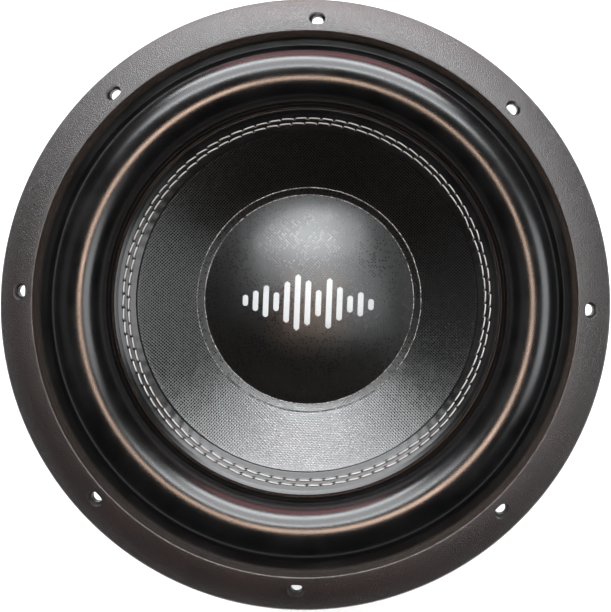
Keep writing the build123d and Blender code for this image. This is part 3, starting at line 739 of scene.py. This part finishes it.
rear_corner = (rear_corner_radius, cone_face_z(rear_corner_radius) - cone_drop)
cone_outline = np.concatenate(
    [
        straight((NECK_RADIUS, NECK_Z), (RIM_RADIUS, RIM_Z), 24),
        straight((RIM_RADIUS, RIM_Z), (RIM_OUTER, LIP_OUTER_BOTTOM), 4),
        [(RIM_OUTER, LIP_OUTER_BOTTOM)],
        straight((RIM_OUTER, LIP_OUTER_BOTTOM - rim_drop), rear_corner, 4),
        straight(rear_corner, (NECK_RADIUS, NECK_Z - cone_drop), 24),
        [(NECK_RADIUS, NECK_Z - cone_drop)],
    ]
)
cone = face_outwards(revolved("cone_woven", cone_outline, BODY_SEGMENTS))
cone_cloth = woven_material(
    "cone_cloth",
    pitch_mm=1.2,
    depth_mm=0.08,
    # The first colour is painted shade for the weave's pits; the second is the raised yarns.
    painted_pit_shade=(0.0003, 0.0003, 0.0003),
    light=(0.0012, 0.0011, 0.001),
    roughness=0.2,
    coat=1.0,
    gloss=0.6,
)
set_material(cone, cone_cloth)
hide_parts("cone")
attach(cone, "cone_assembly")

dome_edge_z = cone_face_z(CAP_RADIUS) + CAP_LIP
dome_radius = (CAP_RADIUS**2 + CAP_HEIGHT**2) / (2 * CAP_HEIGHT)
dome_centre_z = dome_edge_z + CAP_HEIGHT - dome_radius


def dome_z(radius, shell_radius=dome_radius):
    """The height of the dome at a distance from the axis."""
    return dome_centre_z + np.sqrt(shell_radius**2 - radius**2)


inner_edge = CAP_RADIUS - CAP_THICKNESS
inner_shell = dome_radius - CAP_THICKNESS
outer_radii = CAP_RADIUS * np.cos(np.linspace(0, math.pi / 2, 56))
inner_radii = inner_edge * np.sin(np.linspace(0, math.pi / 2, 30))
cap_outline = np.concatenate(
    [
        [(CAP_LIP_RADIUS, cone_face_z(CAP_LIP_RADIUS) + 0.05)],
        [(CAP_LIP_RADIUS, cone_face_z(CAP_LIP_RADIUS) + CAP_LIP - 0.15)],
        [(CAP_LIP_RADIUS - 0.2, cone_face_z(CAP_LIP_RADIUS - 0.2) + CAP_LIP)],
        [(CAP_RADIUS + 0.5, cone_face_z(CAP_RADIUS + 0.5) + CAP_LIP)],
        np.stack([outer_radii, dome_z(outer_radii)], -1),
        np.stack([inner_radii, dome_z(inner_radii, inner_shell)], -1),
        [(inner_edge, cone_face_z(inner_edge) + 0.05)],
    ]
)
dust_cap = face_outwards(revolved("dust_cap_woven", cap_outline, BODY_SEGMENTS))
cap_cloth = woven_material(
    "cap_cloth",
    pitch_mm=1.2,
    depth_mm=0.085,
    # The first colour is painted shade for the weave's pits; the second is the raised yarns.
    painted_pit_shade=(0.0003, 0.0003, 0.0003),
    light=(0.001, 0.001, 0.0011),
    roughness=0.26,
    coat=0.5,
    gloss=0.75,
)
set_material(dust_cap, cap_cloth)
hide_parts("dust_cap")
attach(dust_cap, "cone_assembly")

GLUE = glue_material()
for bead_name, bead_radius, bead_z, bead_size, bead_seed in (
    ("adhesive_crease", CAP_RADIUS + 0.15, dome_edge_z + 0.1, 0.28, 3),
    ("adhesive_lip_edge", CAP_LIP_RADIUS + 0.15, cone_face_z(CAP_LIP_RADIUS) + 0.45, 0.24, 7),
):
    bead = wobbly_ring(bead_name, bead_radius, bead_z, bead_size, segments=1800, waves=420, seed=bead_seed)
    set_material(bead, GLUE)
    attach(bead, "cone_assembly")

# ---- generic printed mark: a level meter of plain upright bars ----

MARK_HEIGHTS = (6, 11, 17, 10, 22, 30, 24, 14, 27, 18, 9, 13, 6)
BAR_WIDTH, BAR_PITCH, MARK_Y, INK_RISE = 3.0, 5.6, -1.5, 0.1
BAR_TIP_WIDTH = 0.04


def printed_mark():
    """Upright rounded bars that lie on the dome."""
    points, faces = [], []
    columns, rows = 6, 24
    for index, height in enumerate(MARK_HEIGHTS):
        middle = (index - (len(MARK_HEIGHTS) - 1) / 2) * BAR_PITCH
        first = sum(len(block) for block in points)
        block = []
        for row in range(rows + 1):
            rise = (row / rows - 0.5) * height
            to_end = max(0.0, abs(rise) - (height / 2 - BAR_WIDTH / 2))
            half = math.sqrt(max((BAR_WIDTH / 2) ** 2 - to_end**2, (BAR_TIP_WIDTH / 2) ** 2))
            for column in range(columns + 1):
                x = middle + (column / columns * 2 - 1) * half
                y = MARK_Y + rise
                block.append((x, y, float(dome_z(math.hypot(x, y))) + INK_RISE))
        points.append(block)
        for row in range(rows):
            for column in range(columns):
                corner = first + row * (columns + 1) + column
                faces.append((corner, corner + 1, corner + columns + 2, corner + columns + 1))
    mark = new_piece("cap_printed_bars", np.concatenate(points), faces)
    set_material(mark, print_material())
    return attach(mark, "cone_assembly")


printed_mark()

# ---- trim gasket ----

HOLE_CIRCLE, HOLE_COUNT, SLOT_LENGTH, SLOT_WIDTH = 147.5, 8, 8.8, 6.4
CUTTER_HEIGHTS = (-5.0, 20.0)
GASKET_INNER, GASKET_OUTER, GASKET_CREASE_DEG = 140.2, 158.7, 40.0


def gasket():
    """The wide outward-sloping rubber ring with its obround holes."""
    pocket = [(GASKET_INNER, 6.6), (143.9, 6.6), (143.9, FLANGE_TOP)]
    skirt = [(156.8, FLANGE_TOP), (156.8, 0.8), (158.4, 0.8), (158.65, 1.1)]
    outline = np.concatenate(
        [
            pocket,
            skirt,
            straight((GASKET_OUTER, 1.4), (GASKET_OUTER, 6.3), 4),
            arc_through((GASKET_OUTER, 6.4), (158.25, 7.75), (157.0, 8.7), 6)[:-1],
            arc_through((157.0, 8.7), (149.5, 11.9), (140.9, 14.0), 28)[:-1],
            arc_through((140.9, 14.0), (140.4, 13.85), (GASKET_INNER, 13.35), 5),
            straight((GASKET_INNER, 13.0), (GASKET_INNER, 6.8), 4),
        ]
    )
    ring = face_outwards(revolved("gasket_trim", outline, RING_SEGMENTS, GASKET_CREASE_DEG))
    cutter = slot_cutters()
    cut = ring.modifiers.new("holes", "BOOLEAN")
    cut.object = cutter
    cut.solver = "EXACT"
    depsgraph = bpy.context.evaluated_depsgraph_get()
    mesh = bpy.data.meshes.new_from_object(ring.evaluated_get(depsgraph))
    ring.modifiers.clear()
    ring.data = mesh
    bpy.data.objects.remove(cutter)
    mesh.shade_smooth()
    mesh.set_sharp_from_angle(angle=math.radians(GASKET_CREASE_DEG))
    return ring


def slot_cutters():
    """Eight upright obround prisms, long way along the ring."""
    straight_half, round_radius, arc_steps = (SLOT_LENGTH - SLOT_WIDTH) / 2, SLOT_WIDTH / 2, 16
    shape = []
    for side in (1, -1):
        for step in range(arc_steps + 1):
            turn = math.pi * (step / arc_steps - 0.5)
            along = side * (straight_half + round_radius * math.cos(turn))
            across = side * round_radius * math.sin(turn)
            shape.append((across, along))
    points, faces = [], []
    for index in range(HOLE_COUNT):
        angle = index * FULL_TURN / HOLE_COUNT + math.pi / 2
        first = len(points)
        for height in CUTTER_HEIGHTS:
            for across, along in shape:
                radius = HOLE_CIRCLE + across
                x = radius * math.cos(angle) - along * math.sin(angle)
                y = radius * math.sin(angle) + along * math.cos(angle)
                points.append((x, y, height))
        count = len(shape)
        top = first + count
        faces.append(tuple(reversed(range(first, top))))
        faces.append(tuple(range(top, top + count)))
        for corner in range(count):
            following = (corner + 1) % count
            faces.append((first + corner, first + following, top + following, top + corner))
    return face_outwards(new_piece("slot_cutters", points, faces))


gasket_piece = gasket()
set_material(gasket_piece, gasket_rubber())
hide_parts("gasket_ring")
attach(gasket_piece, "chassis")

# ---- spiders ----

SPIDER_INNER, WAVE_START, WAVE_END, SPIDER_RIM = 32.9, 37.0, 83.0, 92.0
SPIDER_WAVES, WAVE_HEIGHT, CLOTH = 8, 1.6, 0.8
UPPER_SPIDER_Z, LOWER_SPIDER_Z = -57.0, -67.0


def spider(name, rim_bottom, node):
    """A corrugated cloth disc."""
    flat_in = np.linspace(SPIDER_INNER, WAVE_START, 4)[:-1]
    waves = np.linspace(WAVE_START, WAVE_END, SPIDER_WAVES * 9 + 1)
    flat_out = np.linspace(WAVE_END, SPIDER_RIM, 5)[1:]
    radii = np.concatenate([flat_in, waves, flat_out])
    swing = np.sin(np.clip((radii - WAVE_START) / (WAVE_END - WAVE_START), 0, 1) * SPIDER_WAVES * math.pi)
    middle = rim_bottom + CLOTH / 2 + WAVE_HEIGHT * swing * 0.98
    top = np.stack([radii, middle + CLOTH / 2], -1)
    bottom = np.stack([radii, middle - CLOTH / 2], -1)[::-1]
    disc = face_outwards(revolved(name, np.concatenate([top, bottom]), 300))
    set_material(disc, SPIDER_CLOTH)
    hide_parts(node)
    return flexing(disc, SPIDER_INNER + 2.0, WAVE_END)


SPIDER_CLOTH = spider_cloth()
spider("spider_cloth_upper", UPPER_SPIDER_Z, "spider_upper")
spider("spider_cloth_lower", LOWER_SPIDER_Z, "spider_lower")

# ---- magnet boot ----

BOOT_OUTER, BOOT_GROOVE = 80.95, 80.2
boot_outline = rounded_outline(
    [
        (74.2, -106.9, 0),
        (78.2, -106.9, 0),
        (78.2, -147.1, 0),
        (72.2, -147.1, 0),
        (72.2, -157.5, 0.4),
        (BOOT_OUTER, -157.5, 2.4),
        (BOOT_OUTER, -150.6, 0.3),
        (BOOT_GROOVE, -150.2, 0.3),
        (BOOT_GROOVE, -148.2, 0.3),
        (BOOT_OUTER, -147.8, 0.3),
        (BOOT_OUTER, -112.2, 0.3),
        (BOOT_GROOVE, -111.8, 0.3),
        (BOOT_GROOVE, -109.8, 0.3),
        (BOOT_OUTER, -109.4, 0.3),
        (BOOT_OUTER, -103.0, 2.4),
        (74.2, -103.0, 0.6),
    ]
)
boot = face_outwards(revolved("magnet_boot_rubber", boot_outline, BODY_SEGMENTS))
set_material(boot, grained_plastic("boot_rubber", (0.016, 0.016, 0.0165), 0.52, 0.6, 0.06))
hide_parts("magnet_boot")
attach(boot, "chassis")

# ---- tinsel leads: braided copper from the lugs to the back of the cone ----

LUG_Y, ANCHOR_X, LUG_FACE_X, LEAD_RADIUS = 17.5, 66.0, 102.2, 1.0
ANCHOR_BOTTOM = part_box("lead_anchors")[0].z / MM
LEAD_ROUTE = (
    (LUG_FACE_X, -54.0),
    (97.5, -54.0),
    (94.6, -49.3),
    (93.9, -42.0),
    (92.2, -34.8),
    (87.3, -31.2),
    (81.4, -32.0),
    (76.4, -37.2),
    (70.4, -37.6),
    (66.8, -33.0),
    (ANCHOR_X, -28.0),
    (ANCHOR_X, ANCHOR_BOTTOM),
)


def lead_line(side, y):
    """Points along the lead's smooth line, as its own NURBS spline gives them."""
    curve = bpy.data.curves.new("route", "CURVE")
    curve.dimensions = "3D"
    curve.resolution_u = 16
    spline = curve.splines.new("NURBS")
    spline.points.add(len(LEAD_ROUTE) - 1)
    for point, (x, z) in zip(spline.points, LEAD_ROUTE):
        point.co = (side * x * MM, y * MM, z * MM, 1)
    spline.order_u = 3
    spline.use_endpoint_u = True
    holder = bpy.data.objects.new("route", curve)
    bpy.context.scene.collection.objects.link(holder)
    mesh = bpy.data.meshes.new_from_object(holder)
    points = np.array([v.co for v in mesh.vertices]) / MM
    bpy.data.objects.remove(holder)
    return points


def braided_tube(name, line, radius, strands=5, sides=6, turn_length=5.0):
    """Strands wound both ways round a line in one plane, over and under each other."""
    step = np.linalg.norm(np.diff(line, axis=0), axis=1)
    travelled = np.concatenate([[0], np.cumsum(step)])
    place = np.linspace(0, travelled[-1], 90)
    centre = np.stack([np.interp(place, travelled, line[:, axis]) for axis in range(3)], -1)
    forward = np.gradient(centre, axis=0)
    forward /= np.linalg.norm(forward, axis=1, keepdims=True)
    sideways = np.array([0.0, 1.0, 0.0])
    upward = np.cross(forward, sideways)
    strand_radius, winding_radius, weave_depth = radius * 0.36, radius * 0.6, 0.16
    points, faces = [], []
    for direction in (1, -1):
        for strand in range(strands):
            turn = direction * place / turn_length * FULL_TURN + strand * FULL_TURN / strands
            weave = weave_depth * direction * np.cos(turn * strands)
            reach = winding_radius * (1 + weave)
            outward = np.cos(turn)[:, None] * sideways + np.sin(turn)[:, None] * upward
            path = centre + reach[:, None] * outward
            along = np.gradient(path, axis=0)
            along /= np.linalg.norm(along, axis=1, keepdims=True)
            across = np.cross(along, outward)
            first = len(points) * len(place) * sides
            rows = []
            for side in range(sides):
                around = side * FULL_TURN / sides
                rows.append(path + strand_radius * (math.cos(around) * outward + math.sin(around) * across))
            points.append(np.stack(rows, 1).reshape(-1, 3))
            faces += ring_faces(len(place), sides, first, close_rows=False)
            last = first + (len(place) - 1) * sides
            faces += [tuple(range(first, first + sides)), tuple(range(last, last + sides))]
    return face_outwards(new_piece(name, np.concatenate(points), faces, 80.0))


BRAID = braid_material()
for side, side_name in ((1, "right"), (-1, "left")):
    for lead_y, polarity in ((LUG_Y * side, "plus"), (-LUG_Y * side, "minus")):
        lead = braided_tube(f"lead_braid_{side_name}_{polarity}", lead_line(side, lead_y), LEAD_RADIUS)
        set_material(lead, BRAID)
        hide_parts(f"tinsel_lead_{side_name}_{polarity}")
        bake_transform(lead)

# ---- springs inside the push buttons ----

SPRING_START_X, SPRING_END_X, SPRING_COIL, SPRING_WIRE = 122.05, 128.95, 2.6, 0.3
BUTTON_Y, BUTTON_Z, BUTTON_TRAVEL = 10.0, -73.0, 3.5


def coil_spring(name, side, y):
    """A compression spring along X, with its end turns closed."""
    turns, steps, sides, closed_share = 5.0, 140, 8, 0.12
    share = np.linspace(0, 1, steps)
    turn = share * turns * FULL_TURN
    rise = np.clip((share - closed_share) / (1 - 2 * closed_share), 0, 1)
    x = SPRING_START_X + SPRING_WIRE + rise * (SPRING_END_X - SPRING_START_X - 2 * SPRING_WIRE)
    outward = np.stack([np.zeros(steps), np.cos(turn), np.sin(turn)], -1)
    centre = np.stack([x, y + SPRING_COIL * np.cos(turn), BUTTON_Z + SPRING_COIL * np.sin(turn)], -1)
    lengthwise = np.array([1.0, 0.0, 0.0])
    rows = []
    for step in range(sides):
        around = step * FULL_TURN / sides
        rows.append(centre + SPRING_WIRE * (math.cos(around) * outward + math.sin(around) * lengthwise))
    points = np.stack(rows, 1).reshape(-1, 3)
    points[:, 0] *= side
    faces = ring_faces(steps, sides, close_rows=False)
    faces += [tuple(range(sides)), tuple(range((steps - 1) * sides, steps * sides))]
    return face_outwards(new_piece(name, points, faces, 80.0))


SPRING_STEEL = turned_metal("spring_wire", (0.6, 0.6, 0.62), 0.25, 0.4)
for side, side_name in ((1, "right"), (-1, "left")):
    for button_y, colour in ((BUTTON_Y * side, "red"), (-BUTTON_Y * side, "black")):
        spring = coil_spring(f"spring_coil_{side_name}_{colour}", side, button_y)
        set_material(spring, SPRING_STEEL)
        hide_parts(f"button_spring_{side_name}_{colour}")
        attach(spring, "chassis")
        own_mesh(spring)

# ---- materials for the CAD pieces that keep their shape ----

BLACK_PAINT = powder_coat("basket_paint", (0.012, 0.012, 0.013))
ZINC = turned_metal("black_zinc", (0.23, 0.23, 0.24), 0.34, 0.35)
FERRITE = grained_plastic("ferrite", (0.035, 0.035, 0.037), 0.6, 0.3, 0.08)
COPPER = turned_metal("bare_copper", (0.82, 0.36, 0.18), 0.22, 0.3)
OXIDE = turned_metal("black_oxide_steel", (0.08, 0.08, 0.085), 0.35, 0.3)
SCREEN = turned_metal("screen_steel", (0.4, 0.4, 0.42), 0.35, 0.6)
NYLON = grained_plastic("terminal_nylon", (0.018, 0.018, 0.019), 0.45)
SPACER = grained_plastic("spacer_nylon", (0.02, 0.02, 0.02), 0.5)
RED = grained_plastic("red_moulding", (0.52, 0.012, 0.01), 0.24, 0.8, 0.015, coat_weight=0.6)
BLACK = grained_plastic("black_moulding", (0.012, 0.012, 0.013), 0.24, 0.8, 0.015, coat_weight=0.6)
GOLD = turned_metal("gold_flash", (0.9, 0.66, 0.27), 0.22, 0.5)

node_materials = {
    "basket": BLACK_PAINT,
    "coil_former": film_material(),
    "former_collar": paper_material(),
    "spider_spacer": SPACER,
    "top_plate": ZINC,
    "t_yoke": ZINC,
    "magnet_upper": FERRITE,
    "magnet_lower": FERRITE,
    "pole_shorting_sleeve": COPPER,
    "vent_screen": SCREEN,
    "basket_to_plate_screws": OXIDE,
    "lead_anchors": GOLD,
}
COIL = coil_material()
for winding in ("winding_inner", "winding_outer"):
    node_materials[winding] = COIL
for side_name in ("right", "left"):
    node_materials[f"terminal_block_{side_name}"] = NYLON
    node_materials[f"terminal_screws_{side_name}"] = OXIDE
    node_materials[f"contact_posts_{side_name}"] = GOLD
    node_materials[f"solder_lugs_{side_name}"] = GOLD
    node_materials[f"button_{side_name}_red"] = RED
    node_materials[f"button_{side_name}_black"] = BLACK
for node_name, material in node_materials.items():
    set_material(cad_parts[node_name], material)

# ---- studio: pale floor and soft lights ----

FLOOR_SIZE_M = 6.0
floor_mesh = bpy.data.meshes.new("floor")
half_floor = FLOOR_SIZE_M / 2
floor_corners = ((-1, -1), (1, -1), (1, 1), (-1, 1))
floor_points = [(x * half_floor, y * half_floor, FLOOR_Z) for x, y in floor_corners]
floor_mesh.from_pydata(floor_points, [], [(0, 1, 2, 3)])
floor = bpy.data.objects.new("floor", floor_mesh)
bpy.context.scene.collection.objects.link(floor)
set_material(floor, floor_material())


def soft_light(name, turn_deg, from_vertical_deg, distance, width, height, watts, color):
    """A soft panel that faces the cone from a direction; the turn counts from +Y towards +X."""
    turn, lean = math.radians(turn_deg), math.radians(from_vertical_deg)
    place = (
        distance * math.sin(lean) * math.sin(turn),
        distance * math.sin(lean) * math.cos(turn),
        distance * math.cos(lean),
    )
    data = bpy.data.lights.new(name, "AREA")
    data.shape = "RECTANGLE"
    data.size = width * MM
    data.size_y = height * MM
    data.energy = watts
    data.color = color
    lamp = bpy.data.objects.new(name, data)
    lamp.matrix_world = aimed_matrix(place, (0, 0, 0))
    lamp.visible_camera = False
    bpy.context.scene.collection.objects.link(lamp)
    return lamp


WHITE, WARM, RED_GLOW = (0.95, 0.98, 1.0), (1.0, 0.72, 0.56), (1.0, 0.4, 0.42)

# name, turn, angle from the vertical, distance, width, height, watts, colour
soft_light("key_upper", -5, 59, 2500, 2900, 460, 74.0, WHITE)
soft_light("key_lower", -5, 26.5, 2500, 2300, 200, 24.0, WHITE)
soft_light("key_fill", -5, 40, 2520, 2600, 1300, 66.0, WHITE)
soft_light("side_right", 92, 38, 2000, 800, 1000, 12.6, WHITE)
soft_light("side_left", -90, 45, 2000, 900, 900, 0.7, WHITE)
soft_light("red_horizon", 0, 81, 2500, 2400, 620, 17.0, RED_GLOW)
soft_light("warm_near_camera", 169, 6.2, 470, 90, 90, 0.72, WARM)
backdrop = soft_light("backdrop_fill", 0, 0, 2600, 2600, 2600, 85.0, WHITE)
backdrop.visible_glossy = False

WORLD_STRENGTH = 0.02
world = bpy.data.worlds.new("studio")
world.use_nodes = True
background = world.node_tree.nodes["Background"]
background.inputs["Color"].default_value = (1.0, 1.0, 1.0, 1.0)
background.inputs["Strength"].default_value = WORLD_STRENGTH
bpy.context.scene.world = world
bpy.context.scene.view_settings.view_transform = "Standard"
